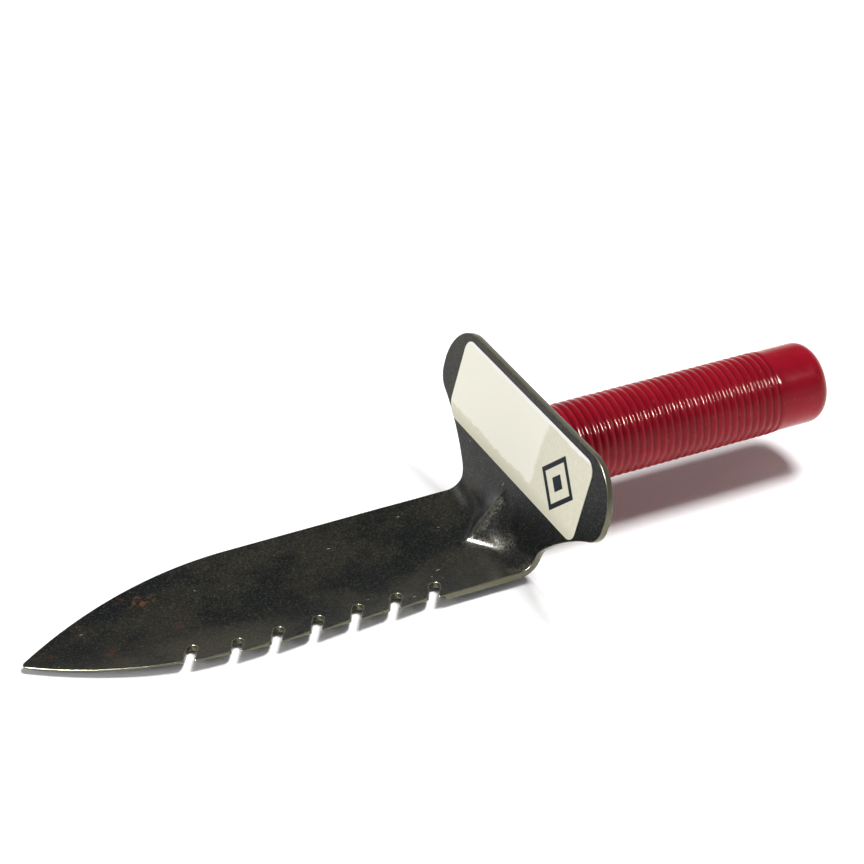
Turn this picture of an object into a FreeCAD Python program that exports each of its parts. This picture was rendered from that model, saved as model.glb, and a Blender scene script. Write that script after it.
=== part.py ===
import FreeCAD, Part
import math
import os
import Sketcher
from FreeCAD import Placement, Rotation, Vector

# Detecting shovel: a hand digger for metal detecting. Millimetres.
# +X runs from the blade's point to the end of the grip, the toothed edge is on the -Y side and
# +Z is up. The origin is under the middle of the tool, at the level it stands on.

doc = FreeCAD.newDocument("detecting_shovel")

SIZES = (
    ("tip_x", -152.5),              # point of the blade
    ("blade_half", 28.575),         # blade is 57.15 wide at the root
    ("thick", 2.3),                 # sheet steel
    ("dish_radius", 137.0),         # inside of the trough, axis along X
    ("bevel_end_x", -11.5),         # the edge bevel stops here
    ("bevel_width", 3.2),
    ("bevel_height", 1.75),
    ("shoulder_x", -68.6),          # straight sides start here
    ("side_radius", 143.0),         # curve of the sides towards the point
    ("guard_x", 19.83),             # guard's front plane at floor level
    ("guard_lean", 15.35),          # degrees back from upright
    ("guard_length", 59.05),        # from floor level to the top edge, along the guard
    ("bend_inner", 6.5),
    ("bend_outer", 8.8),
    ("slot_width", 3.6),
    ("slot_pitch", 14.5),
    ("slot_count", 7),
    ("slot_lean", 28.7),            # degrees, mouths lean towards the point
    ("slot_first_x", -83.6),        # inner end of the second slot
    ("slot_end_y", -18.6),          # how far in the slots reach
    ("tooth_relief", 1.3),
    ("dart_half", 14.0),            # stamped dart across the bend
    ("axis_z", 32.06),              # handle centre line
    ("tube_radius", 11.1),
    ("tube_wall", 0.9),
    ("tube_end_x", 147.0),
    ("bead_leg", 2.4),
    ("bead_radius", 13.6),
    ("grip_radius", 15.27),
    ("grip_gap", 0.4),              # grip to guard
    ("grip_end_x", 152.5),
    ("grip_corner", 5.5),
    ("rib_pitch", 2.924),
    ("rib_depth", 0.5),
    ("rib_first_x", 41.3),
    ("rib_count", 31),
    ("label_long", 94.0),
    ("label_high", 30.2),
    ("label_thick", 0.2),
    ("label_shift", 1.3),           # stuck on slightly to the +Y side
    ("label_centre", 41.1),         # from floor level, along the guard
)

sheet = doc.addObject("Spreadsheet::Sheet", "Sizes")
for row, (alias, value) in enumerate(SIZES, start=1):
    sheet.set("A%d" % row, alias)
    sheet.set("B%d" % row, str(value))
    sheet.setAlias("B%d" % row, alias)
doc.recompute()


def size(alias):
    return float(sheet.get(alias))


LEAN = math.radians(size("guard_lean"))
ALONG = Vector(math.sin(LEAN), 0, math.cos(LEAN))       # up the guard
THROUGH = Vector(math.cos(LEAN), 0, -math.sin(LEAN))    # from its front to its back
GUARD_FOOT = Vector(size("guard_x"), 0, 0)
GUARD_BACK_X = size("guard_x") + size("thick") / math.cos(LEAN)


def back_x(z):
    """Guard's back face at height z."""
    return GUARD_BACK_X + z * math.tan(LEAN)


def new_body(name, label):
    body = doc.addObject("PartDesign::Body", name)
    body.Label = label
    return body


def plane_of(body, role):
    for feature in body.Origin.OriginFeatures:
        if feature.Role == role:
            return feature
    raise ValueError(role)


def new_sketch(body, name, role, geometry):
    sketch = body.newObject("Sketcher::SketchObject", name)
    sketch.AttachmentSupport = [(plane_of(body, role), "")]
    sketch.MapMode = "FlatFace"
    sketch.addGeometry(geometry, False)
    return sketch


def lean_sketch(body, name, geometry):
    """Sketch on the guard's front plane: X is across, Y is up the guard."""
    sketch = new_sketch(body, name, "YZ_Plane", geometry)
    sketch.AttachmentOffset = Placement(Vector(0, 0, size("guard_x")), Rotation(Vector(1, 0, 0), 1))
    sketch.setExpression("AttachmentOffset.Rotation.Angle", "Sizes.guard_lean * 1 deg")
    sketch.setExpression("AttachmentOffset.Base.z", "Sizes.guard_x")
    return sketch


def new_feature(body, kind, name, profile, **expressions):
    feature = body.newObject("PartDesign::" + kind, name)
    feature.Profile = profile
    for prop, expression in expressions.items():
        feature.setExpression(prop, expression)
    return feature


def line(a, b):
    return Part.LineSegment(Vector(a[0], a[1], 0), Vector(b[0], b[1], 0))


def arc(a, through, b):
    return Part.Arc(*[Vector(p[0], p[1], 0) for p in (a, through, b)])


def polygon(points):
    return [line(points[i], points[(i + 1) % len(points)]) for i in range(len(points))]


def circle(radius, x=0.0, y=0.0):
    return Part.Circle(Vector(x, y, 0), Vector(0, 0, 1), radius)


def bind_radius(sketch, index, expression):
    """Driving radius on one circle of a sketch, tied to the sheet."""
    number = sketch.addConstraint(Sketcher.Constraint("Radius", index, sketch.Geometry[index].Radius))
    sketch.setExpression("Constraints[%d]" % number, expression)


def cut_through(body, name, profile):
    pocket = new_feature(body, "Pocket", name, profile)
    pocket.SideType = "Symmetric"
    pocket.Type = "Length"
    pocket.Length = 700
    return pocket


def edges_where(shape, test):
    return ["Edge%d" % (i + 1) for i, edge in enumerate(shape.Edges) if test(edge)]


# ---- blade and guard: one piece of sheet steel ----------------------------------------------
blade = new_body("BladeAndGuard", "blade_and_guard_plain")

half = size("blade_half")
tip = size("tip_x")
side_end = half - 0.4                                # width where the sides begin to curve in
bevel_end = size("bevel_end_x")
shoulder = size("shoulder_x")
side_r = size("side_radius")


def side_y(x):
    """Half width on the curved part of the sides."""
    return side_end - side_r + math.sqrt(side_r ** 2 - (x - shoulder) ** 2)


NOSE_X = tip + 0.6
MID_X = (NOSE_X + shoulder) / 2
outline = [
    line((bevel_end, half), (shoulder, side_end)),
    arc((shoulder, side_end), (MID_X, side_y(MID_X)), (NOSE_X, side_y(NOSE_X))),
    arc((NOSE_X, side_y(NOSE_X)), (tip, 0), (NOSE_X, -side_y(NOSE_X))),
    arc((NOSE_X, -side_y(NOSE_X)), (MID_X, -side_y(MID_X)), (shoulder, -side_end)),
    line((shoulder, -side_end), (bevel_end, -half)),
    line((bevel_end, -half), (bevel_end, half)),
]
blade_plan = new_sketch(blade, "BladePlan", "XY_Plane", outline)
new_feature(blade, "Pad", "BladeBlank", blade_plan).Length = 9

# The trough: everything above its inside and below its outside is cut away.
r_in = size("dish_radius")
r_out = r_in + size("thick")
reach = 34.0


def dish_z(radius, y):
    return r_out - math.sqrt(radius ** 2 - y ** 2)


def above_dish():
    z = dish_z(r_in, reach)
    low = dish_z(r_in, 0)
    return [arc((-reach, z), (0, low), (reach, z)), line((reach, z), (reach, 12)),
            line((reach, 12), (-reach, 12)), line((-reach, 12), (-reach, z))]


def below_dish():
    z = dish_z(r_out, reach)
    return [arc((-reach, z), (0, 0), (reach, z)), line((reach, z), (reach, -9)),
            line((reach, -9), (-reach, -9)), line((-reach, -9), (-reach, z))]


cut_through(blade, "DishInside", new_sketch(blade, "DishInsideProfile", "YZ_Plane", above_dish()))
cut_through(blade, "DishOutside", new_sketch(blade, "DishOutsideProfile", "YZ_Plane", below_dish()))
doc.recompute()

# Shallow bevel ground on the underside of both sides, up to the blunt point. The two sides'
# edges run opposite ways, so their two distances are given in opposite order.


def lower_side(shape, side):
    """Edges between the underside and the wall on the +Y (1) or -Y (-1) side."""
    def on_rim(edge):
        if edge.BoundBox.XLength < 5:
            return False
        middle = edge.valueAt((edge.FirstParameter + edge.LastParameter) / 2)
        under_z = dish_z(r_out, min(abs(middle.y), reach))
        return side * middle.y > 0 and abs(middle.z - under_z) < 0.05
    return edges_where(shape, on_rim)


def bevel_side(name, side, first, second):
    base = blade.Tip
    bevel = blade.newObject("PartDesign::Chamfer", name)
    bevel.Base = (base, lower_side(base.Shape, side))
    bevel.ChamferType = "Two distances"
    bevel.setExpression("Size", first)
    bevel.setExpression("Size2", second)
    doc.recompute()


bevel_side("BevelFar", 1, "Sizes.bevel_height", "Sizes.bevel_width")
bevel_side("BevelNear", -1, "Sizes.bevel_width", "Sizes.bevel_height")

# Root of the blade, full thickness out to its sides.
in_z = dish_z(r_in, half)
out_z = dish_z(r_out, half)
root = new_sketch(blade, "RootSection", "YZ_Plane", [
    arc((-half, in_z), (0, dish_z(r_in, 0)), (half, in_z)),
    line((half, in_z), (half, out_z)),
    arc((half, out_z), (0, 0), (-half, out_z)),
    line((-half, out_z), (-half, in_z)),
])
root.setExpression("AttachmentOffset.Base.z", "Sizes.bevel_end_x")
new_feature(blade, "Pad", "BladeRoot", root).Length = 48

# Guard, from its outline: neck, shoulder, round lobes and a straight top edge.
top = size("guard_length")
right_side = [
    ((half, -8.0), (half, 8.8)),
    ((half, 8.8), (29.1, 11.9), (30.6, 14.3)),
    ((30.6, 14.3), (41.85, 24.3), (54.8, 32.1)),
    ((54.8, 32.1), (58.15, 35.1), (59.5, 39.6)),
    ((59.5, 39.6), (55.1, 53.3), (42.2, top)),
]
guard_lines = []
for sign in (1, -1):
    for points in right_side:
        points = [(sign * y, w) for y, w in points]
        guard_lines.append(line(*points) if len(points) == 2 else arc(*points))
guard_lines.append(line((42.2, top), (-42.2, top)))
guard_lines.append(line((-half, -8.0), (half, -8.0)))
guard_outline = lean_sketch(blade, "GuardOutline", guard_lines)
new_feature(blade, "Pad", "Guard", guard_outline, Length="Sizes.thick")

# Trim the two plates to one corner: behind the guard's back and under the blade.
behind = new_sketch(blade, "BehindGuard", "XZ_Plane", polygon([
    (back_x(-10), -10), (back_x(20), 20), (80, 20), (80, -10)]))
cut_through(blade, "TrimBehind", behind)
under = new_sketch(blade, "UnderBlade", "YZ_Plane", below_dish())
cut_through(blade, "TrimUnder", under)
doc.recompute()


def bend_edge(x_at, z_at):
    """Edge that crosses the bend through (x_at, 0, z_at)."""
    spot = Part.Vertex(x_at, 0, z_at)
    return lambda edge: edge.distToShape(spot)[0] < 0.05 and edge.BoundBox.YLength > 50


corner = blade.Tip
inner_x = size("guard_x") + size("thick") * math.tan(LEAN)
inner = blade.newObject("PartDesign::Fillet", "BendInside")
inner.Base = (corner, edges_where(corner.Shape, bend_edge(inner_x, size("thick"))))
inner.setExpression("Radius", "Sizes.bend_inner")
doc.recompute()
outer = blade.newObject("PartDesign::Fillet", "BendOutside")
outer.Base = (inner, edges_where(inner.Shape, bend_edge(back_x(0), 0)))
outer.setExpression("Radius", "Sizes.bend_outer")
doc.recompute()

# Slots: one profile, patterned along the straight edge, and one more where the edge curves in.
slope = math.radians(size("slot_lean"))
run = Vector(-math.sin(slope), -math.cos(slope), 0)     # along a slot, out through the edge
across = Vector(run.y, -run.x, 0)
slot_r = size("slot_width") / 2


def slot_profile(x, y, relief):
    """Round end at (x, y); the tooth before the slot falls away by relief at its rear corner."""
    centre = Vector(x, y, 0) + run * slot_r
    near = centre - across * slot_r
    far = centre + across * slot_r
    if near.x < far.x:
        near, far = far, near
    inside = centre - run * slot_r
    edge_y = -half - 6
    out_near = near + run * ((edge_y - near.y) / run.y)
    tooth = far + run * ((-half + 0.15 + relief - far.y) / run.y)
    lines = [arc((near.x, near.y), (inside.x, inside.y), (far.x, far.y)),
             line((near.x, near.y), (out_near.x, out_near.y))]
    if relief:
        front = (tooth.x - size("slot_pitch") + 4.2, -half + 0.15)
        lines += [line((far.x, far.y), (tooth.x, tooth.y)), line((tooth.x, tooth.y), front),
                  line(front, (front[0], edge_y)), line((front[0], edge_y), (out_near.x, edge_y))]
    else:
        out_far = far + run * ((edge_y - far.y) / run.y)
        lines += [line((far.x, far.y), (out_far.x, out_far.y)),
                  line((out_far.x, out_far.y), (out_near.x, edge_y))]
    return lines


first_x = size("slot_first_x")
slot_y = size("slot_end_y")
slot_sketch = new_sketch(blade, "SlotProfile", "XY_Plane",
                         slot_profile(first_x, slot_y, size("tooth_relief")))
slot = cut_through(blade, "Slot", slot_sketch)
doc.recompute()
slots = blade.newObject("PartDesign::LinearPattern", "Slots")
slots.Originals = [slot]
slots.Direction = (slot_sketch, ["H_Axis"])
slots.Mode = "Spacing"
slots.setExpression("Offset", "Sizes.slot_pitch")
slots.setExpression("Occurrences", "Sizes.slot_count - 1")
blade.Tip = slots
doc.recompute()
end_slot = new_sketch(blade, "EndSlotProfile", "XY_Plane",
                      slot_profile(first_x - size("slot_pitch") - 0.5, slot_y + 3.7, 0))
cut_through(blade, "EndSlot", end_slot)
doc.recompute()

# Dart pressed across the bend: a pointed ridge inside, the same hollow outside.
foot = Vector(inner_x, 0, size("thick"))
blade_point = Vector(size("guard_x") - 9.5, 0, size("thick") - 0.1)
guard_point = GUARD_FOOT + ALONG * 19.6 + THROUGH * 0.1
ridge = guard_point.sub(blade_point)
ridge.normalize()
share = foot.sub(blade_point).dot(ridge)
crown = blade_point + ridge * share
out_of_bend = Vector(-ridge.z, 0, ridge.x)
drop = crown.sub(foot).dot(out_of_bend)


def dart_section(label):
    """Section across the ridge: a rounded roof with its top on the ridge line."""
    flank = size("dart_half")
    rise = 1.5
    sketch = doc.addObject("Sketcher::SketchObject", label)
    sketch.Placement = Placement(crown, Rotation(Vector(0, 1, 0), out_of_bend, ridge, "ZXY"))
    corner_y = -drop - 1.0
    shoulder_y = 3.4
    sketch.addGeometry([
        line((-flank, corner_y), (-shoulder_y, -rise)),
        arc((-shoulder_y, -rise), (0, 0), (shoulder_y, -rise)),
        line((shoulder_y, -rise), (flank, corner_y)),
        line((flank, corner_y), (-flank, corner_y)),
    ], False)
    return sketch


def point_at(label, spot):
    vertex = doc.addObject("Part::Vertex", label)
    vertex.X, vertex.Y, vertex.Z = spot.x, spot.y, spot.z
    return vertex


dart = doc.addObject("Part::Loft", "Dart")
dart.Sections = [point_at("DartFront", blade_point), dart_section("DartSection"),
                 point_at("DartBack", guard_point)]
dart.Ruled = True
dart.Solid = True
doc.recompute()

hollow = doc.addObject("Part::Loft", "DartHollow")
hollow.Sections = dart.Sections
hollow.Ruled = True
hollow.Solid = True
hollow.Placement = Placement(out_of_bend * (-1.15 * size("thick")), Rotation())

raised = doc.addObject("Part::Fuse", "BladeWithDart")
raised.Base = blade
raised.Tool = dart
blade_and_guard = doc.addObject("Part::Cut", "BladeAndGuardPressed")
blade_and_guard.Label = "blade_and_guard"
blade_and_guard.Base = raised
blade_and_guard.Tool = hollow

# ---- handle tube ----------------------------------------------------------------------------
tube = new_body("HandleTube", "handle_tube")
tube_circles = [circle(size("tube_radius"), 0, size("axis_z")),
                circle(size("tube_radius") - size("tube_wall"), 0, size("axis_z"))]
tube_ring = new_sketch(tube, "TubeRing", "YZ_Plane", tube_circles)
bind_radius(tube_ring, 0, "Sizes.tube_radius")
bind_radius(tube_ring, 1, "Sizes.tube_radius - Sizes.tube_wall")
new_feature(tube, "Pad", "Tube", tube_ring, Length="Sizes.tube_end_x")
scarf = new_sketch(tube, "TubeScarf", "XZ_Plane", polygon([
    (-5, 10), (back_x(10), 10), (back_x(55), 55), (-5, 55)]))
cut_through(tube, "TubeEndCut", scarf)

# ---- fillet weld round the tube -------------------------------------------------------------
weld_centre = Vector(back_x(size("axis_z")), 0, size("axis_z")) - ALONG * 0.35
cone = doc.addObject("Part::Cone", "BeadCone")
cone.setExpression("Radius1", "Sizes.bead_radius")
cone.setExpression("Radius2", "Sizes.tube_radius + 0.75")
cone.setExpression("Height", "Sizes.bead_leg")
cone.Placement = Placement(weld_centre, Rotation(Vector(0, 0, 1), THROUGH))
core = doc.addObject("Part::Cylinder", "BeadCore")
core.setExpression("Radius", "Sizes.tube_radius")
core.Height = 60
core.Placement = Placement(Vector(0, 0, size("axis_z")), Rotation(Vector(0, 1, 0), 90))
core.setExpression("Placement.Base.z", "Sizes.axis_z")
bead = doc.addObject("Part::Cut", "WeldBead")
bead.Label = "weld_bead"
bead.Base = cone
bead.Tool = core

# ---- grip: ribbed sleeve with a closed, rounded end ------------------------------------------
grip = new_body("Grip", "grip")
grip_r = size("grip_radius")
bore = size("tube_radius")
end_x = size("grip_end_x")
corner_r = size("grip_corner")
dome = 1.4
bend_mid = corner_r * (1 - math.sqrt(0.5))
smooth_r = grip_r - 0.3
flat_r = smooth_r - corner_r
dome_r = (flat_r ** 2 + dome ** 2) / (2 * dome)
profile = [
    line((12, bore), (12, grip_r)),
    line((12, grip_r), (130.3, grip_r)),
    line((130.3, grip_r), (130.9, smooth_r)),
    line((130.9, smooth_r), (end_x - dome - corner_r, smooth_r)),
    arc((end_x - dome - corner_r, smooth_r), (end_x - dome - bend_mid, smooth_r - bend_mid),
        (end_x - dome, flat_r)),
    arc((end_x - dome, flat_r), (end_x - dome_r + math.sqrt(dome_r ** 2 - 25), 5), (end_x, 0)),
    line((end_x, 0), (size("tube_end_x"), 0)),
    line((size("tube_end_x"), 0), (size("tube_end_x"), bore)),
    line((size("tube_end_x"), bore), (12, bore)),
]


def axis_sketch(body, name, geometry):
    """Sketch in the XZ plane with its X axis on the handle's centre line."""
    sketch = new_sketch(body, name, "XZ_Plane", geometry)
    sketch.setExpression("AttachmentOffset.Base.y", "Sizes.axis_z")
    return sketch


def turned(body, kind, name, sketch):
    feature = new_feature(body, kind, name, sketch)
    feature.ReferenceAxis = (sketch, ["H_Axis"])
    feature.Angle = 360
    return feature


turned(grip, "Revolution", "Sleeve", axis_sketch(grip, "SleeveProfile", profile))
doc.recompute()
slant = new_sketch(grip, "GripSlant", "XZ_Plane", polygon([
    (0, 10), (back_x(10) + size("grip_gap"), 10), (back_x(55) + size("grip_gap"), 55), (0, 55)]))
cut_through(grip, "GripFront", slant)
recess_end = back_x(size("axis_z") + 14) + size("bead_leg") + 0.4
recess = axis_sketch(grip, "RecessProfile", polygon([
    (12, bore - 1), (12, 14.1), (recess_end - 1.8, 14.1), (recess_end, bore - 1)]))
turned(grip, "Groove", "BeadRecess", recess)
doc.recompute()
rib_x = size("rib_first_x")
depth = size("rib_depth")
valley = axis_sketch(grip, "RibValley", [
    arc((rib_x - 1.05, grip_r), (rib_x, grip_r - depth), (rib_x + 1.05, grip_r)),
    line((rib_x + 1.05, grip_r), (rib_x + 1.05, grip_r + 1)),
    line((rib_x + 1.05, grip_r + 1), (rib_x - 1.05, grip_r + 1)),
    line((rib_x - 1.05, grip_r + 1), (rib_x - 1.05, grip_r)),
])
groove = turned(grip, "Groove", "RibGroove", valley)
doc.recompute()
ribs = grip.newObject("PartDesign::LinearPattern", "Ribs")
ribs.Originals = [groove]
ribs.Direction = (valley, ["H_Axis"])
ribs.Mode = "Spacing"
ribs.setExpression("Offset", "Sizes.rib_pitch")
ribs.setExpression("Occurrences", "Sizes.rib_count")
grip.Tip = ribs

# ---- label on the guard's front face ---------------------------------------------------------
label = new_body("Label", "label")
low = size("label_centre") - size("label_high") / 2
high = size("label_centre") + size("label_high") / 2
near = size("label_shift") - size("label_long") / 2
far = size("label_shift") + size("label_long") / 2
LABEL_CORNERS = (    # corner, direction inwards, radius
    ((near, low), (1, 1), 4.0),
    ((far, low), (-1, 1), 6.5),
    ((far, high), (-1, -1), 4.5),
    ((near, high), (1, -1), 5.0),
)
label_lines = []
ends = []
for (y, w), (dy, dw), radius in LABEL_CORNERS:
    cut = radius * (1 - math.sqrt(0.5))
    along_y = (y + dy * radius, w)
    along_w = (y, w + dw * radius)
    label_lines.append(arc(along_y, (y + dy * cut, w + dw * cut), along_w))
    ends.append((along_y, along_w))
for corner_a, corner_b, side in ((0, 1, 0), (1, 2, 1), (2, 3, 0), (3, 0, 1)):
    label_lines.append(line(ends[corner_a][side], ends[corner_b][side]))
label_sketch = lean_sketch(label, "LabelOutline", label_lines)
foil = new_feature(label, "Pad", "LabelFoil", label_sketch, Length="Sizes.label_thick")
foil.Reversed = True

doc.recompute()

# ---- check and write -------------------------------------------------------------------------
for thing in doc.Objects:
    if "Invalid" in thing.State or "Error" in thing.State:
        raise RuntimeError("%s did not build" % thing.Name)

NODES = (blade_and_guard, tube, bead, grip, label)
os.makedirs("parts", exist_ok=True)
for node in NODES:
    shape = node.Shape
    if shape.isNull() or not shape.isValid() or len(shape.Solids) != 1:
        raise RuntimeError("%s is not one sound solid" % node.Label)
    shape.exportStep("parts/%s.step" % node.Label)
    box = shape.BoundBox
    print("%-16s %9.1f mm3  x %.2f..%.2f  y %.2f..%.2f  z %.2f..%.2f" % (
        node.Label, shape.Volume, box.XMin, box.XMax, box.YMin, box.YMax, box.ZMin, box.ZMax))
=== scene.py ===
import math

import bmesh
import bpy
import numpy as np
from mathutils import Matrix, Vector, geometry, noise


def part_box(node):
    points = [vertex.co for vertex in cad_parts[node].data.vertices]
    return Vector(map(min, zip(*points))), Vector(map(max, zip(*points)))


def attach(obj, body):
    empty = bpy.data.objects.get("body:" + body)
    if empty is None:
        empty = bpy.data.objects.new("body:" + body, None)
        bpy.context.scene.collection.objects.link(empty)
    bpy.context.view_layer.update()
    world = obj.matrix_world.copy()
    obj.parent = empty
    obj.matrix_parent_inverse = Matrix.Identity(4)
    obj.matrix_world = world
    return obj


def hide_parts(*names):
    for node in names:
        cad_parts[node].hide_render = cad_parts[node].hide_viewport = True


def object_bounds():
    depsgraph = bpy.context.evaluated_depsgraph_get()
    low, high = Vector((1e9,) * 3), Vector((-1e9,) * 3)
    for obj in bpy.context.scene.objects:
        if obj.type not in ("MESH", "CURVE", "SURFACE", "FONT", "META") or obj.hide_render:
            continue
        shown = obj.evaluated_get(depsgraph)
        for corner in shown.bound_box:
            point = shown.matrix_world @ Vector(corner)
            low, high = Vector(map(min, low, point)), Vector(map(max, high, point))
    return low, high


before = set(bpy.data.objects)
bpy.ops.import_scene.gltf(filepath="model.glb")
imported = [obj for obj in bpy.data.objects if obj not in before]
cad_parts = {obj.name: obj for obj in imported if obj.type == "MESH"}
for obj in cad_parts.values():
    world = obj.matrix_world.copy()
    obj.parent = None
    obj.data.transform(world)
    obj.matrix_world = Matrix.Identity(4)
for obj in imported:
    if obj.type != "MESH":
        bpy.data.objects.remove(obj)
CAD_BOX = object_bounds()
MM = 0.001

# Sizes in millimetres, in the CAD's frame: X from the point to the grip's end, -Y the toothed edge.
GRIP_LO, GRIP_HI = [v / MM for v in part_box("grip")]
TIP_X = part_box("blade_and_guard")[0].x / MM
HALF = 28.575
THICK = 2.3
R_IN, R_OUT = 137.0, 139.3
LEAN = math.radians(15.35)
TAN = math.tan(LEAN)
GUARD_X = 19.83
GUARD_TOP = 59.05
BEND_R = 6.5
TURN = math.radians(90 - 15.35)
TANGENT = BEND_R * math.tan(TURN / 2)
ALONG = np.array([math.sin(LEAN), 0, math.cos(LEAN)])
THROUGH = np.array([math.cos(LEAN), 0, -math.sin(LEAN)])
AXIS_Z = (GRIP_LO.z + GRIP_HI.z) / 2

# The sheet is laid out flat as (q, y): q is X on the blade, then runs on over the bend and up the guard.
Q1 = 9.0            # bend zone starts
W1 = 10.8           # bend zone ends, this far up the guard
BEND_ZONE = (GUARD_X + THICK * TAN - TANGENT - Q1) + BEND_R * TURN + (W1 - THICK / math.cos(LEAN) - TANGENT)
Q2 = Q1 + BEND_ZONE


def guard_q(w):
    return Q2 + w - W1


# ---------------------------------------------------------------------------------- outline
def arc3(a, b, c, step=0.12):
    """Points on the circle through a, b and c, from a to c."""
    a, b, c = (np.array(p, float) for p in (a, b, c))
    d = 2 * (a[0] * (b[1] - c[1]) + b[0] * (c[1] - a[1]) + c[0] * (a[1] - b[1]))
    s = [(p ** 2).sum() for p in (a, b, c)]
    centre = np.array([(s[0] * (b[1] - c[1]) + s[1] * (c[1] - a[1]) + s[2] * (a[1] - b[1])) / d,
                       (s[0] * (c[0] - b[0]) + s[1] * (a[0] - c[0]) + s[2] * (b[0] - a[0])) / d])
    r = np.linalg.norm(a - centre)
    t0, t1, t2 = (math.atan2(*(p - centre)[::-1]) for p in (a, b, c))
    turn = (t2 - t0) % (2 * math.pi)
    if (t1 - t0) % (2 * math.pi) > turn:
        turn -= 2 * math.pi
    n = max(2, int(abs(turn) * r / step))
    t = t0 + turn * np.linspace(0, 1, n + 1)
    return centre + r * np.stack([np.cos(t), np.sin(t)], 1)


def run_through(points):
    """One dense open run: straight between pairs, an arc where three points are given."""
    out = []
    for p in points:
        part = arc3(*p) if len(p) == 3 else np.array(p, float)
        out.append(part if not out else part[1:])
    return np.concatenate(out)


SHOULDER_X, SIDE_R, SIDE_END = -68.6, 143.0, HALF - 0.4     # the side is an arc up to the shoulder
NOSE_X = TIP_X + 0.6                                        # the point is a short blunt arc
BEVEL_END = -11.5


def side_y(x):
    """Half width between the nose and the shoulder."""
    return SIDE_END - SIDE_R + np.sqrt(SIDE_R ** 2 - (x - SHOULDER_X) ** 2)


MID_X = (NOSE_X + SHOULDER_X) / 2
GUARD_SIDE = [
    [(8.8, HALF), (11.9, 29.1), (14.3, 30.6)],
    [(14.3, 30.6), (24.3, 41.85), (32.1, 54.8)],
    [(32.1, 54.8), (35.1, 58.15), (39.6, 59.5)],
    [(39.6, 59.5), (53.3, 55.1), (GUARD_TOP, 42.2)],
]       # (height up the guard, half width), from its root to its top edge
guard_side = run_through([[(guard_q(w), y) for w, y in part] for part in GUARD_SIDE])
plain_side = np.concatenate([
    arc3((TIP_X, 0), (NOSE_X - 0.35, side_y(NOSE_X) * 0.72), (NOSE_X, side_y(NOSE_X)))[:-1],
    arc3((NOSE_X, side_y(NOSE_X)), (MID_X, side_y(MID_X)), (SHOULDER_X, SIDE_END)),
    [(BEVEL_END, HALF), (Q1, HALF)],
    guard_side,
    [(guard_q(GUARD_TOP), 0)],
])


def mirrored(points):
    return (points * [1, -1])[::-1]


def edge_at(x):
    """Half width of the blade where the slots are."""
    if x < SHOULDER_X:
        return float(side_y(x))
    return SIDE_END + (HALF - SIDE_END) * (x - SHOULDER_X) / (BEVEL_END - SHOULDER_X)


def to_edge(start, run, margin=0.0):
    """Follows a slot's wall from start out to the blade's edge, or to a margin inside it."""
    point = start
    for _ in range(6):
        point = start + run * ((margin - edge_at(point[0]) - start[1]) / run[1])
    return point


def rounded_corner(a, corner, b):
    """A curve from a to b that cuts the corner between them."""
    t = np.linspace(0, 1, 8)[:, None]
    return (1 - t) ** 2 * a + 2 * t * (1 - t) * corner + t ** 2 * b


SLOT_R, SLOT_PITCH = 1.8, 14.5
SLOT_SLOPE = math.radians(28.7)
TOOTH_FRONT = 4.9       # a tooth is worn back as far as this from the slot before it


def slot_cut(x, y, relief, corner):
    """A slot ending at x, y. The tooth before it is worn back by relief, its corner rounded by corner."""
    run = np.array([-math.sin(SLOT_SLOPE), -math.cos(SLOT_SLOPE)])
    side = np.array([-run[1], run[0]])
    centre = np.array([x, y]) + run * SLOT_R
    rear, front = centre + side * SLOT_R, centre - side * SLOT_R
    mouth = to_edge(front, run, relief)
    tooth_x = mouth[0] - SLOT_PITCH + TOOTH_FRONT
    tooth = np.array([tooth_x, -edge_at(tooth_x)])
    along = (tooth - mouth) / np.linalg.norm(tooth - mouth)
    return np.vstack([
        [to_edge(rear, run)],
        arc3(rear, centre - run * SLOT_R, front),
        rounded_corner(mouth - run * corner, mouth, mouth + along * corner),
        [tooth],
    ])


near_side = mirrored(plain_side)
SLOTS = [(-83.6 + SLOT_PITCH * k, -18.6, 1.3, 2.1 if k == 1 else 1.2) for k in range(5, -1, -1)]
SLOTS.append((-98.6, -14.9, 0.3, 1.2))      # the short one nearest the point


def with_slots(side, cuts):
    """The near side with each cut spliced in, working from the root to the point."""
    out, i = [], 0
    for cut in cuts:
        while side[i][0] > cut[0][0]:
            out.append(side[i])
            i += 1
        out.extend(cut)
        while side[i][0] > cut[-1][0]:
            i += 1
    out.extend(side[i:])
    return np.array(out, float)


def resample(points, step):
    """Closed loop at an even step."""
    loop = np.vstack([points, points[:1]])
    length = np.r_[0, np.cumsum(np.linalg.norm(np.diff(loop, axis=0), axis=1))]
    n = int(length[-1] / step)
    t = np.linspace(0, length[-1], n, endpoint=False)
    return np.stack([np.interp(t, length, loop[:, k]) for k in (0, 1)], 1)


def smoothed(points, sigma, step):
    """Rounds the corners of a closed, even loop."""
    half = int(3 * sigma / step)
    kernel = np.exp(-0.5 * (np.arange(-half, half + 1) * step / sigma) ** 2)
    kernel /= kernel.sum()
    out = np.zeros_like(points)
    for k, weight in zip(range(-half, half + 1), kernel):
        out += weight * np.roll(points, -k, axis=0)
    return out


CORNER_STEP, CORNER_SIGMA, RIM_STEP = 0.06, 0.22, 0.42
raw = np.vstack([plain_side[:-1], with_slots(near_side, [slot_cut(*slot) for slot in SLOTS])[:-1]])
outline = smoothed(resample(raw, CORNER_STEP), CORNER_SIGMA, CORNER_STEP)
outline = resample(outline, RIM_STEP)


def twice_area(loop):
    """Positive when the loop runs anticlockwise."""
    return (loop[:, 0] * np.roll(loop[:, 1], -1) - np.roll(loop[:, 0], -1) * loop[:, 1]).sum()


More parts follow.
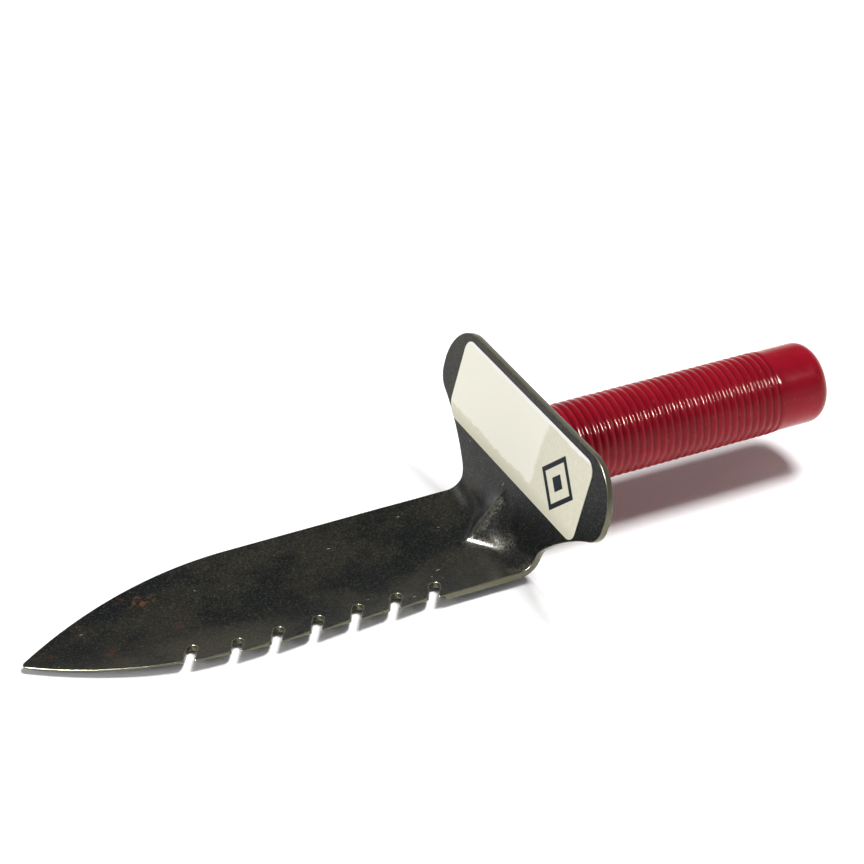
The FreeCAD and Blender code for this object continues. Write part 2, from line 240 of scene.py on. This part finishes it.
def inward_of(loop):
    """Unit normals of a closed loop, pointing into it."""
    along = np.roll(loop, -1, axis=0) - np.roll(loop, 1, axis=0)
    along /= np.linalg.norm(along, axis=1)[:, None]
    return np.sign(twice_area(loop)) * np.stack([-along[:, 1], along[:, 0]], 1)


if twice_area(outline) < 0:
    outline = outline[::-1]
inward = inward_of(outline)
plain = resample(np.vstack([plain_side[:-1], near_side[:-1]]), 0.25)     # the outline without its slots


def inset(distance):
    return outline + inward * distance


# ---------------------------------------------------------------------------------- flat mesh
ROUND = 0.3                     # how far in from the rim its rounding starts
STEP, FINE_STEP = 0.95, 0.5     # the finer one round the dart
FINE_LO, FINE_HI = (Q1 - 9, -20.0), (Q1 + 33, 20.0)
BEVEL_WIDTH, BEVEL_HEIGHT = 3.2, 1.75
EDGE_ROW = 0.8                  # a row of points this far in, another where the bevel ends
ROW_TO_RIM, GRID_TO_ROW, GRID_TO_RIM = 0.62, 0.55, 0.75     # gaps kept free of points


def near_loop(points, loop, limit):
    """Distance from each point to the nearest point of a dense loop, capped."""
    out = np.full(len(points), limit)
    cell = {}
    for i, p in enumerate(loop):
        cell.setdefault((int(p[0] // limit), int(p[1] // limit)), []).append(i)
    for i, p in enumerate(points):
        a, b = int(p[0] // limit), int(p[1] // limit)
        near = [j for da in (-1, 0, 1) for db in (-1, 0, 1) for j in cell.get((a + da, b + db), ())]
        if near:
            out[i] = min(limit, np.sqrt(((loop[near] - p) ** 2).sum(1).min()))
    return out


def hex_grid(lo, hi, step):
    """Evenly spread points, each row half a step beside the last."""
    rows = []
    for row, y in enumerate(np.arange(lo[1], hi[1], step * 0.866)):
        x = np.arange(lo[0] + 0.5 * step * (row % 2), hi[0], step)
        rows.append(np.stack([x, np.full(len(x), y)], 1))
    return np.concatenate(rows)


def flat_mesh():
    """Triangles of the flat blank: its points, its faces and the point numbers round its rim."""
    rim = inset(ROUND)
    grid = hex_grid(outline.min(0), outline.max(0), STEP)
    in_zone = (grid[:, 0] > FINE_LO[0]) & (grid[:, 0] < FINE_HI[0]) & (abs(grid[:, 1]) < FINE_HI[1])
    grid = np.vstack([grid[~in_zone], hex_grid(FINE_LO, FINE_HI, FINE_STEP)])
    rows = np.vstack([(plain + inward_of(plain) * d)[::3] for d in (EDGE_ROW, BEVEL_WIDTH)])
    rows = rows[near_loop(rows, outline, 3.0) > ROW_TO_RIM]
    grid = grid[near_loop(grid, rows, 2.0) > GRID_TO_ROW]
    grid = grid[near_loop(grid, outline, 3.0) > GRID_TO_RIM]
    points = np.vstack([rows, grid])
    points = np.vstack([rim, points[in_polygon(points, rim)]])
    edges = [(i, (i + 1) % len(rim)) for i in range(len(rim))]
    result = geometry.delaunay_2d_cdt([Vector(p) for p in points], edges, [list(range(len(rim)))], 1, 1e-5)
    verts, faces, origins = result[0], result[2], result[3]
    flat = np.array([tuple(v) for v in verts])
    back = {}
    for new, old in enumerate(origins):
        for o in old:
            back[o] = new
    rim_ids = [back[i] for i in range(len(rim))]
    return flat, [tuple(f) for f in faces], rim_ids


def in_polygon(points, loop):
    x, y = points[:, 0], points[:, 1]
    inside = np.zeros(len(points), bool)
    a, b = loop, np.roll(loop, -1, axis=0)
    for (x0, y0), (x1, y1) in zip(a, b):
        if y0 == y1:
            continue
        hit = ((y0 > y) != (y1 > y)) & (x < (x1 - x0) * (y - y0) / (y1 - y0) + x0)
        inside ^= hit
    return inside


# ---------------------------------------------------------------------------------- sheet in space
DART_HALF, ROOF_HALF, ROOF_DROP = 14.0, 4.4, 1.9
DART_SINK = 1.0     # the section's lower corners are this far under the sheet
BLEND = 1.9         # softness of the line where the dart meets the sheet
RUBBED_AND_HIGHLIT = [          # start, end and half width of each rubbed line, painted paler as a highlight
    ((11.0, -2.0, 4.2), (22.0, -13.0, 6.5), 2.6),
    ((12.0, -1.0, 5.5), (22.5, -1.2, 16.0), 1.9),
    ((15.0, -25.5, 4.5), (20.0, -27.0, 6.5), 1.8),
]
FOOT = np.array([GUARD_X + THICK * TAN, 0, THICK])
DART_A = np.array([GUARD_X - 9.5, 0, THICK - 0.1])
DART_B = np.array([GUARD_X, 0, 0]) + ALONG * 19.6 + THROUGH * 0.1
RIDGE = (DART_B - DART_A) / np.linalg.norm(DART_B - DART_A)
RIDGE_LENGTH = np.linalg.norm(DART_B - DART_A)
OUT = np.array([-RIDGE[2], 0, RIDGE[0]])
CROWN_AT = (FOOT - DART_A) @ RIDGE
DROP = (DART_A - FOOT) @ OUT


def roof(v):
    """Depth of the dart's full section below its ridge, at v across."""
    v = abs(v)
    slope = (DROP + DART_SINK - ROOF_DROP) / (DART_HALF - ROOF_HALF)
    r = (ROOF_HALF ** 2 + ROOF_DROP ** 2) / (2 * ROOF_DROP)
    crown = r - np.sqrt(np.maximum(r * r - v * v, 0))
    return np.where(v < ROOF_HALF, crown, ROOF_DROP + (v - ROOF_HALF) * slope)


def dart_rise(p):
    """How far the pressed dart lifts the base surface at p, along OUT."""
    rel = p - DART_A
    along = rel @ RIDGE
    depth = -(rel @ OUT)
    back = RIDGE_LENGTH - CROWN_AT
    k = np.where(along < CROWN_AT, along / CROWN_AT, (RIDGE_LENGTH - along) / back)
    k = np.maximum(k, 1e-3)
    rise = depth - k * roof(p[:, 1] / k)
    return BLEND * np.logaddexp(0, rise / BLEND)


def smooth(value, low, high):
    """Smooth step from 0 at low to 1 at high."""
    t = np.clip((value - low) / (high - low), 0, 1)
    return t * t * (3 - 2 * t)


def unit(v):
    return v / np.linalg.norm(v, axis=1)[:, None]


def place(flat, depth):
    """Points of the formed sheet: flat (q, y) and depth below its inside face."""
    q, y = flat[:, 0], flat[:, 1]
    root = np.sqrt(R_IN ** 2 - np.minimum(abs(y), 40) ** 2)
    z_top = R_OUT - root
    zero = np.zeros_like(q)
    blade_n = np.stack([zero, -y / R_IN, root / R_IN], 1)
    corner_x = GUARD_X + z_top * TAN
    straight = corner_x - TANGENT - Q1
    curve = BEND_R * TURN
    rest = W1 - z_top / math.cos(LEAN) - TANGENT
    length = (q - Q1) / BEND_ZONE * (straight + curve + rest)
    # blade
    p = np.stack([q, y, z_top], 1)
    n = blade_n.copy()
    # straight part of the bend zone
    m = (q > Q1) & (length <= straight)
    p[m, 0] = Q1 + length[m]
    # arc
    m = (q > Q1) & (length > straight) & (length <= straight + curve)
    a = ((length - straight) / BEND_R)[m]
    p[m, 0] = (corner_x - TANGENT)[m] + BEND_R * np.sin(a)
    p[m, 2] = z_top[m] + BEND_R * (1 - np.cos(a))
    n[m] = unit(np.stack([-np.sin(a), blade_n[m, 1] * (1 - a / TURN), np.cos(a)], 1))
    # guard
    m = (q > Q1) & (length > straight + curve)
    w = np.where(q < Q2, z_top / math.cos(LEAN) + TANGENT + length - straight - curve, q - Q2 + W1)
    p[m] = np.array([GUARD_X, 0, 0]) + w[m][:, None] * ALONG + np.stack([zero, y, zero], 1)[m]
    n[m] = -THROUGH
    # the dart fades out along the blade, before the label and towards both sides
    ease = smooth(q, Q1 - 12, Q1 - 2) * smooth(-q, -guard_q(23.5), -guard_q(15)) * smooth(-abs(y), -22, -15)
    rise = np.zeros_like(q)
    rise[ease > 0] = dart_rise(p[ease > 0])
    rise *= ease
    return p + rise[:, None] * OUT - n * depth[:, None]


def underside(flat):
    """Sheet thickness at each flat point: full, or thinned by the bevel near the blade's edges."""
    distance = near_loop(flat, plain, BEVEL_WIDTH)
    fade = np.clip((BEVEL_END - flat[:, 0]) / 0.8, 0, 1)
    return THICK - BEVEL_HEIGHT * fade * np.clip(1 - distance / BEVEL_WIDTH, 0, 1)


def polish_and_highlight(points):
    """How much the dart's proud places are rubbed bare and painted with a highlight: its ridge, its foot
    and a spot beside it.
    """
    out = np.zeros(len(points))
    for start, end, width in RUBBED_AND_HIGHLIT:
        start, end = np.array(start), np.array(end)
        line = end - start
        t = np.clip((points - start) @ line / (line @ line), 0, 1)
        gap = np.linalg.norm(points - start - t[:, None] * line, axis=1)
        out = np.maximum(out, np.exp(-(gap / width) ** 2))
    return out


RIM_TOP = [(0.14, 0.045), (0.04, 0.14), (0.0, 0.3)]     # (distance in, depth) of the rim's rounding
RIM_FOOT_IN, RIM_FOOT_UP = 0.05, 0.09
WEAR_REACH = 0.45                                       # how far in from the rim the wear dies away
RIM_LOW, RIM_LOW_SHARE = 0.28, 0.4                      # where the straight wall ends, above the underside


def steel_sheet():
    """The sheet's points and faces, how worn each point is, and how much it is rubbed and painted with a
    highlight.
    """
    flat, faces, rim_ids = flat_mesh()
    n, count = len(flat), len(outline)
    rim_below = underside(outline)
    loops = [place(inset(distance), np.full(count, depth)) for distance, depth in RIM_TOP]
    loops.append(place(outline, rim_below - np.minimum(RIM_LOW, rim_below * RIM_LOW_SHARE)))
    loops.append(place(inset(RIM_FOOT_IN), rim_below - RIM_FOOT_UP))
    verts = np.vstack([place(flat, np.zeros(n)), place(flat, underside(flat))] + loops)
    all_faces = faces + [tuple(n + i for i in reversed(f)) for f in faces]
    rings = [rim_ids] + [[2 * n + k * count + i for i in range(count)] for k in range(len(loops))]
    rings.append([n + i for i in rim_ids])
    for a, b in zip(rings, rings[1:]):
        for i in range(count):
            j = (i + 1) % count
            all_faces.append((a[i], b[i], b[j], a[j]))
    face_wear = np.exp(-near_loop(flat, outline, 4.0) / WEAR_REACH)
    wear = np.concatenate([face_wear, face_wear, np.ones(len(loops) * count)])
    return verts, all_faces, wear, polish_and_highlight(verts)


def new_piece(name, mesh):
    mesh.shade_smooth()
    piece = bpy.data.objects.new(name, mesh)
    bpy.context.scene.collection.objects.link(piece)
    return piece


verts, faces, wear, rubbed_and_highlit = steel_sheet()
steel_mesh = bpy.data.meshes.new("steel_blade_and_guard")
steel_mesh.from_pydata([tuple(v) for v in verts * MM], [], faces)
steel_mesh.validate()
steel = new_piece("steel_blade_and_guard", steel_mesh)
for name, values in (("wear", wear), ("rubbed_and_highlit", rubbed_and_highlit)):
    steel.data.attributes.new(name, "FLOAT", "POINT").data.foreach_set("value", values)
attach(steel, "root")
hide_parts("blade_and_guard")

# ---------------------------------------------------------------------------------- grip
GRIP_R, BORE, END_STEP = 15.27, 11.1, 0.3       # the plain band is END_STEP smaller
RIB_PITCH, RIB_FIRST, RIB_LAST, RIB_DEPTH = 2.924, 41.3, 130.0, 0.52
END_X = GRIP_HI.x
START_X = 24.0          # inside the guard: the slanted cut trims it
DOME, CORNER = 1.4, 5.5
BORE_END, WELD_ROOM_R, WELD_ROOM_X = END_X - 5.5, 14.1, (37.4, 39.0)
AROUND = 144
WOBBLE, WOBBLE_R, WOBBLE_END = 0.045, 14.2, END_X - 6


def grip_profile():
    """(x, r) along the sleeve's outside, from the guard to the middle of its domed end."""
    out = []
    x = START_X
    while x < RIB_LAST:
        phase = (x - RIB_FIRST) / RIB_PITCH
        wave = 0.5 + 0.5 * math.cos(2 * math.pi * phase)        # 1 in a valley
        depth = RIB_DEPTH * wave ** 1.6
        fade = min(1.0, max(0.0, (RIB_LAST + 0.9 - x) / 1.2))
        out.append((x, GRIP_R - depth * fade - END_STEP * (1 - fade)))
        x += RIB_PITCH / 14
    band_r = GRIP_R - END_STEP
    flat_r = band_r - CORNER
    for x in np.linspace(RIB_LAST + 1.2, END_X - DOME - CORNER, 10):
        out.append((float(x), band_r))
    for a in np.linspace(0, math.pi / 2, 14)[1:]:
        out.append((END_X - DOME - CORNER + CORNER * math.sin(a), flat_r + CORNER * math.cos(a)))
    dome_r = (flat_r ** 2 + DOME ** 2) / (2 * DOME)
    for r in np.linspace(flat_r, 0, 12)[1:]:
        out.append((END_X - dome_r + math.sqrt(dome_r * dome_r - r * r), float(r)))
    return out


def grip_mesh():
    """The sleeve turned about its axis, with its bore and weld recess, cut off at the guard."""
    bm = bmesh.new()
    inner = [(BORE_END, 0.0), (BORE_END, BORE), (60.0, BORE), (WELD_ROOM_X[1], BORE),
             (WELD_ROOM_X[0], WELD_ROOM_R), (START_X, WELD_ROOM_R)]
    rings = []
    for x, r in grip_profile() + inner:
        if r < 1e-6:
            rings.append([bm.verts.new((x, 0, AXIS_Z))])
            continue
        ring = []
        for k in range(AROUND):
            t = 2 * math.pi * k / AROUND
            wobble = 0.0
            if r > WOBBLE_R and x < WOBBLE_END:
                wobble = WOBBLE * noise.noise((x * 0.35, 3 * math.cos(t), 3 * math.sin(t)))
            ring.append(bm.verts.new((x, (r + wobble) * math.sin(t), AXIS_Z + (r + wobble) * math.cos(t))))
        rings.append(ring)
    rings.append(rings[0])
    for a, b in zip(rings, rings[1:]):
        if len(a) == 1 and len(b) == 1:
            continue
        for k in range(AROUND):
            j = (k + 1) % AROUND
            if len(b) == 1:
                bm.faces.new((a[k], a[j], b[0]))
            elif len(a) == 1:
                bm.faces.new((a[0], b[j], b[k]))
            else:
                bm.faces.new((a[k], a[j], b[j], b[k]))
    bmesh.ops.recalc_face_normals(bm, faces=bm.faces)
    slant = Vector((GUARD_X + THICK / math.cos(LEAN) + 0.4, 0, 0))
    cut = bmesh.ops.bisect_plane(bm, geom=bm.verts[:] + bm.edges[:] + bm.faces[:], plane_co=slant,
                                 plane_no=Vector(THROUGH), clear_inner=True)
    rim = [e for e in cut["geom_cut"] if isinstance(e, bmesh.types.BMEdge)]
    bmesh.ops.triangle_fill(bm, edges=rim, use_beauty=True)
    bmesh.ops.recalc_face_normals(bm, faces=bm.faces)
    mesh = bpy.data.meshes.new("ribbed_grip")
    bm.to_mesh(mesh)
    bm.free()
    mesh.transform(Matrix.Scale(MM, 4))
    return mesh


grip = new_piece("ribbed_grip", grip_mesh())
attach(grip, "root")
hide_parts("grip")

# ---------------------------------------------------------------------------------- materials
MIX_FACTOR, MIX_A, MIX_B, MIX_RESULT = 0, 6, 7, 2      # sockets of a colour Mix node


class Paint:
    """One material's node tree, in the frame's own coordinates (metres)."""

    def __init__(self, name):
        self.material = bpy.data.materials.new(name)
        self.material.use_nodes = True
        self.nodes = self.material.node_tree.nodes
        self.links = self.material.node_tree.links
        self.shader = self.nodes["Principled BSDF"]
        self.place = self.nodes.new("ShaderNodeTexCoord").outputs["Object"]
        split = self.nodes.new("ShaderNodeSeparateXYZ")
        self.links.new(self.place, split.inputs[0])
        self.x, self.y, self.z = split.outputs

    def put(self, value, socket):
        if isinstance(value, bpy.types.NodeSocket):
            self.links.new(value, socket)
        else:
            socket.default_value = value

    def math(self, operation, *values):
        node = self.nodes.new("ShaderNodeMath")
        node.operation = operation
        for value, socket in zip(values, node.inputs):
            self.put(value, socket)
        return node.outputs[0]

    def value(self, attribute):
        """A number stored on the mesh's points."""
        node = self.nodes.new("ShaderNodeAttribute")
        node.attribute_name = attribute
        return node.outputs["Fac"]

    def noise(self, scale, detail=3.0, rough=0.55, stretch=(1, 1, 1)):
        mapping = self.nodes.new("ShaderNodeMapping")
        mapping.inputs["Scale"].default_value = stretch
        self.links.new(self.place, mapping.inputs["Vector"])
        node = self.nodes.new("ShaderNodeTexNoise")
        node.inputs["Scale"].default_value = scale
        node.inputs["Detail"].default_value = detail
        node.inputs["Roughness"].default_value = rough
        self.links.new(mapping.outputs[0], node.inputs["Vector"])
        return node.outputs["Fac"]

    def step(self, value, low, high, top=1.0):
        """Smooth step from 0 at low to top at high."""
        node = self.nodes.new("ShaderNodeMapRange")
        node.interpolation_type = "SMOOTHSTEP"
        self.put(value, node.inputs["Value"])
        node.inputs["From Min"].default_value = low
        node.inputs["From Max"].default_value = high
        node.inputs["To Max"].default_value = top
        return node.outputs[0]

    def both(self, a, b):
        return self.math("MULTIPLY", a, b)

    def mix(self, amount, a, b):
        node = self.nodes.new("ShaderNodeMix")
        node.data_type = "RGBA"
        for value, index in ((amount, MIX_FACTOR), (a, MIX_A), (b, MIX_B)):
            self.put((*value, 1) if isinstance(value, tuple) else value, node.inputs[index])
        return node.outputs[MIX_RESULT]

    def bump(self, height, depth_mm, strength=1.0, base=None):
        node = self.nodes.new("ShaderNodeBump")
        node.inputs["Strength"].default_value = strength
        node.inputs["Distance"].default_value = depth_mm * MM
        self.links.new(height, node.inputs["Height"])
        if base is not None:
            self.links.new(base, node.inputs["Normal"])
        return node.outputs[0]

    def finish(self, colour, rough, normal=None, metal=None, **uniform):
        self.put(colour, self.shader.inputs["Base Color"])
        self.put(rough, self.shader.inputs["Roughness"])
        if normal is not None:
            self.links.new(normal, self.shader.inputs["Normal"])
        if metal is not None:
            self.put(metal, self.shader.inputs["Metallic"])
        for name, value in uniform.items():
            self.shader.inputs[name.replace("_", " ")].default_value = value
        return self.material


RUST_AT, RUST_SIZE = (-0.106, 0.0155), (0.0065, 0.0036)     # one rust patch near the far edge


def heat_treated_steel():
    """Near-black olive scale, mottled and finely grained, with pale worn edges and a little rust. Painted
    light makes the blade's near half and the guard's upper far part paler, painted shade darkens the
    guard's lower near part, and painted highlights pale the dart's rubbed lines.
    """
    m = Paint("heat_treated_steel")
    cloud = m.noise(34, 4, 0.62, (0.7, 1, 1))
    colour = m.mix(m.step(cloud, 0.42, 0.61), (0.0024, 0.0044, 0.0053), (0.0175, 0.0163, 0.0118))
    # Painted light: the near half of the blade, away from the guard, is made paler olive.
    painted_light_near_band = m.both(m.step(m.y, -0.003, -0.016), m.step(m.x, 0.004, -0.03))
    colour = m.mix(m.both(painted_light_near_band, m.step(cloud, 0.28, 0.62, 0.8)), colour, (0.037, 0.034, 0.024))
    # Painted shade: the lower near part of the guard is made blue-black.
    painted_shade_near_guard = m.both(m.step(m.x, 0.010, 0.022), m.step(m.y, 0.010, -0.012))
    colour = m.mix(m.both(painted_shade_near_guard, m.step(m.z, 0.060, 0.040, 0.95)), colour, (0.0012, 0.0025, 0.0036))
    # Painted light: the upper far part of the guard is made paler olive.
    painted_light_upper_guard = m.both(m.step(m.x, 0.020, 0.026), m.step(m.z, 0.018, 0.050, 0.7))
    colour = m.mix(m.both(painted_light_upper_guard, m.step(m.y, -0.045, 0.0)), colour, (0.040, 0.037, 0.027))
    grain = m.noise(1350, 3, 0.8)
    colour = m.mix(m.step(grain, 0.50, 0.68, 0.8), colour, (0.062, 0.059, 0.046))
    colour = m.mix(m.step(grain, 0.47, 0.34, 0.75), colour, (0.0012, 0.0016, 0.0016))
    nick = m.step(m.noise(430, 1, 0.4, (0.6, 1.7, 1)), 0.785, 0.81)
    colour = m.mix(nick, colour, (0.24, 0.23, 0.19))
    rust = m.both(m.step(m.noise(95, 3, 0.7), 0.60, 0.70), m.step(m.x, -0.085, -0.115, 0.6))
    colour = m.mix(rust, colour, (0.075, 0.020, 0.010))
    along = m.math("DIVIDE", m.math("SUBTRACT", m.x, RUST_AT[0]), RUST_SIZE[0])
    across = m.math("DIVIDE", m.math("SUBTRACT", m.y, RUST_AT[1]), RUST_SIZE[1])
    patch = m.step(m.math("ADD", m.both(along, along), m.both(across, across)), 1.0, 0.3)
    patch = m.both(patch, m.step(m.noise(380, 3, 0.65), 0.49, 0.62, 0.65))
    colour = m.mix(patch, colour, (0.125, 0.060, 0.024))
    ragged = m.math("MULTIPLY_ADD", m.noise(420, 3, 0.6), 1.3, -0.65)
    edge = m.step(m.math("ADD", m.value("wear"), ragged), 0.40, 0.95, 0.9)
    colour = m.mix(edge, colour, (0.175, 0.166, 0.116))
    # Painted highlight: the dart's rubbed lines are made paler. Their lower roughness and the metal are
    # real wear.
    rubbed_and_highlit = m.both(m.value("rubbed_and_highlit"), m.step(grain, 0.38, 0.60, 0.6))
    colour = m.mix(rubbed_and_highlit, colour, (0.20, 0.19, 0.145))
    bare = m.math("MAXIMUM", edge, rubbed_and_highlit)
    rough = m.math("MULTIPLY_ADD", cloud, 0.16, 0.22)
    rough = m.math("MULTIPLY_ADD", bare, -0.06, rough)
    forged = m.bump(m.noise(75, 3, 0.5), 0.16)
    normal = m.bump(grain, 0.05, 0.8, forged)
    return m.finish(colour, rough, normal, m.both(bare, 0.65), Specular_IOR_Level=0.16)


def red_vinyl():
    """Dip-moulded crimson vinyl: glossy, with painted shade darkening the grooves, faintly scuffed."""
    m = Paint("red_vinyl")
    body = m.mix(m.step(m.noise(60, 3), 0.35, 0.7), (0.255, 0.0030, 0.014), (0.31, 0.0045, 0.018))
    # Painted shade: each groove between the ribs is darkened, up to where the ribs end.
    turns = 2 * math.pi / RIB_PITCH
    phase = m.math("MULTIPLY_ADD", m.x, turns / MM, -turns * RIB_FIRST)
    painted_groove_shade = m.both(m.step(m.math("COSINE", phase), 0.62, 1.0, 0.6), m.step(m.x, 0.1305, 0.1295))
    colour = m.mix(painted_groove_shade, body, (0.085, 0.0015, 0.005))
    scuff = m.step(m.noise(900, 2, 0.5, (1, 0.25, 0.25)), 0.66, 0.74, 0.35)
    colour = m.mix(scuff, colour, (0.42, 0.05, 0.05))
    rough = m.math("MULTIPLY_ADD", m.noise(240, 3), 0.08, 0.10)
    normal = m.bump(m.noise(330, 3), 0.035)
    return m.finish(colour, rough, normal, Specular_IOR_Level=0.2, Specular_Tint=(1.0, 0.82, 0.70, 1),
                    Sheen_Weight=0.3, Sheen_Tint=(1.0, 0.42, 0.2, 1), Sheen_Roughness=0.35)


MARK_AT, MARK_HALF = (-0.0285, 0.0398), (0.0112, 0.0108)    # the diamond's middle and half sizes


def cream_label():
    """Cream label: a paler panel, a shaded lower strip, a painted highlight along the top edge and a plain
    diamond mark.
    """
    m = Paint("cream_label")
    up = m.math("MULTIPLY", m.z, 1 / math.cos(LEAN))      # distance up the guard
    drift = m.math("MULTIPLY_ADD", m.noise(160, 3), 0.004, -0.002)
    strip = m.step(m.math("ADD", up, drift), 0.0300, 0.0312)
    end = m.step(m.math("ADD", m.y, m.math("MULTIPLY", drift, 1.6)), -0.0150, -0.0125)
    panel = m.both(strip, end)
    speckle = m.noise(700, 4, 0.7)
    plain_part = m.mix(m.step(speckle, 0.3, 0.7), (0.70, 0.67, 0.53), (0.76, 0.74, 0.60))
    low_part = m.mix(m.step(up, 0.0315, 0.0265), plain_part, (0.635, 0.61, 0.47))
    colour = m.mix(panel, low_part, (0.88, 0.86, 0.74))
    # Painted highlight: a whitish band along the label's top edge.
    painted_top_edge_highlight = m.step(m.math("ADD", up, m.math("MULTIPLY", drift, 0.5)), 0.0545, 0.0556)
    colour = m.mix(painted_top_edge_highlight, colour, (0.93, 0.92, 0.88))
    across = m.math("ABSOLUTE", m.math("SUBTRACT", m.y, MARK_AT[0]))
    rise = m.math("ABSOLUTE", m.math("SUBTRACT", up, MARK_AT[1]))
    diamond = m.math("ADD", m.math("DIVIDE", across, MARK_HALF[0]), m.math("DIVIDE", rise, MARK_HALF[1]))
    outline_ink = m.both(m.step(diamond, 0.75, 0.77), m.step(diamond, 1.0, 0.98))
    dot = m.step(diamond, 0.34, 0.32)
    ink = m.both(m.math("MAXIMUM", outline_ink, dot), m.step(speckle, 0.20, 0.32))
    colour = m.mix(ink, colour, (0.006, 0.009, 0.016))
    rough = m.math("MULTIPLY_ADD", speckle, 0.2, 0.42)
    return m.finish(colour, rough, m.bump(speckle, 0.02), Specular_IOR_Level=0.2)


def drawn_tube():
    """Plain drawn steel, streaked along its length."""
    m = Paint("drawn_tube")
    streak = m.noise(500, 3, 0.6, (0.04, 1, 1))
    colour = m.mix(m.step(streak, 0.35, 0.65), (0.20, 0.20, 0.195), (0.36, 0.355, 0.34))
    return m.finish(colour, m.math("MULTIPLY_ADD", streak, 0.25, 0.25), m.bump(streak, 0.03), 0.9)


def weld_metal():
    """Overlapping ripples round the tube, heat tinted."""
    m = Paint("weld_metal")
    turn = m.math("ARCTAN2", m.y, m.math("SUBTRACT", m.z, AXIS_Z * MM))
    ripple = m.math("SINE", m.math("MULTIPLY_ADD", turn, 44.0, m.math("MULTIPLY", m.noise(300), 5.0)))
    tint = m.mix(m.step(m.noise(220, 3), 0.4, 0.62), (0.10, 0.085, 0.07), (0.06, 0.07, 0.11))
    colour = m.mix(m.step(ripple, -1.0, 1.0, 0.5), tint, (0.30, 0.28, 0.25))
    return m.finish(colour, 0.38, m.bump(ripple, 0.25), 0.8)


def paper_floor():
    """Matt white paper."""
    m = Paint("paper_floor")
    tooth = m.noise(260, 2)
    colour = m.mix(tooth, (0.90, 0.90, 0.90), (0.94, 0.94, 0.94))
    return m.finish(colour, 0.95, Specular_IOR_Level=0.1)


steel.data.materials.append(heat_treated_steel())
grip.data.materials.append(red_vinyl())
for node, paint in (("label", cream_label), ("handle_tube", drawn_tube), ("weld_bead", weld_metal)):
    finish = paint()
    for material_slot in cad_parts[node].material_slots:
        material_slot.material = finish

# ---------------------------------------------------------------------------------- studio
FLOOR_HALF, FLOOR_GAP = 4, 0.0001
CORNERS = [(-1, -1), (1, -1), (1, 1), (-1, 1)]
floor_mesh = bpy.data.meshes.new("floor")
floor_mesh.from_pydata([(x * FLOOR_HALF, y * FLOOR_HALF, 0) for x, y in CORNERS], [], [(0, 1, 2, 3)])
floor = bpy.data.objects.new("floor", floor_mesh)
floor.location.z = CAD_BOX[0].z - FLOOR_GAP
bpy.context.scene.collection.objects.link(floor)
floor.data.materials.append(paper_floor())

# The studio is white round the horizon and dim overhead, so flat steel mirrors a dark ceiling.
world = bpy.data.worlds.new("studio")
bpy.context.scene.world = world
world.use_nodes = True
sky = world.node_tree
direction = sky.nodes.new("ShaderNodeTexCoord")
height = sky.nodes.new("ShaderNodeSeparateXYZ")
fade = sky.nodes.new("ShaderNodeMapRange")
fade.interpolation_type = "SMOOTHSTEP"
fade.inputs["From Min"].default_value, fade.inputs["From Max"].default_value = 0.04, 0.42
fade.inputs["To Min"].default_value, fade.inputs["To Max"].default_value = 0.95, 0.15
sky.links.new(direction.outputs["Generated"], height.inputs[0])
sky.links.new(height.outputs["Z"], fade.inputs["Value"])
sky.nodes["Background"].inputs["Color"].default_value = (1, 1, 1, 1)
sky.links.new(fade.outputs[0], sky.nodes["Background"].inputs["Strength"])


def area_light(name, direction, distance, size, radiance, soft=True, link=None, state="INCLUDE"):
    """A lamp facing the tool. A soft one lights surfaces, the others only glint in them.

    link names one object that the lamp lights alone, or leaves out when state is EXCLUDE.
    """
    light = bpy.data.lights.new(name, "AREA")
    light.shape = "RECTANGLE"
    light.size, light.size_y = size
    light.energy = radiance * math.pi * size[0] * size[1]
    lamp = bpy.data.objects.new(name, light)
    direction = Vector(direction).normalized()
    lamp.location = direction * distance
    lamp.rotation_mode = "QUATERNION"
    lamp.rotation_quaternion = direction.to_track_quat("Z", "X")
    lamp.visible_glossy = not soft
    lamp.visible_diffuse = soft
    if link:
        receivers = bpy.data.collections.new(name + "_receivers")
        receivers.objects.link(link)
        receivers.collection_objects[0].light_linking.link_state = state
        lamp.light_linking.receiver_collection = receivers
    bpy.context.scene.collection.objects.link(lamp)


area_light("overhead", (0.32, 0.36, 1), 1.6, (0.26, 0.26), 118, link=floor, state="EXCLUDE")
area_light("floor_wash", (0.35, -0.05, 1), 1.6, (0.50, 0.50), 40, link=floor)
area_light("front_fill", (-1.0, -0.2, 0.42), 1.5, (0.9, 0.9), 4.1)
area_light("rib_glint", (0.367, -0.476, 0.789), 1.2, (0.40, 0.06), 420, soft=False, link=grip)
area_light("ridge_glint", (-0.46, 0.06, 0.88), 1.3, (0.30, 0.30), 420, soft=False, link=steel)

# The camera stands where the photograph was taken from.
LENS, DISTANCE, AIM_X, AIM_Y = 101.33, 0.9193, 0.0307, 0.0702
camera_data = bpy.data.cameras.new("camera")
camera_data.sensor_width = 36
camera_data.lens = LENS
camera = bpy.data.objects.new("camera", camera_data)
az, el = math.radians(-25.82), math.radians(32.48)
back = Vector((math.sin(az) * math.cos(el), -math.cos(az) * math.cos(el), math.sin(el)))
middle = (CAD_BOX[0] + CAD_BOX[1]) / 2
target = Vector((middle.x + AIM_X, middle.y + AIM_Y, CAD_BOX[0].z + THICK * MM))
camera.location = target + back * DISTANCE
camera.rotation_mode = "QUATERNION"
camera.rotation_quaternion = (-back).to_track_quat("-Z", "Y")
camera_data.clip_start, camera_data.clip_end = 0.01, 50
bpy.context.scene.collection.objects.link(camera)
bpy.context.scene.camera = camera
bpy.context.scene.view_settings.view_transform = "Standard"
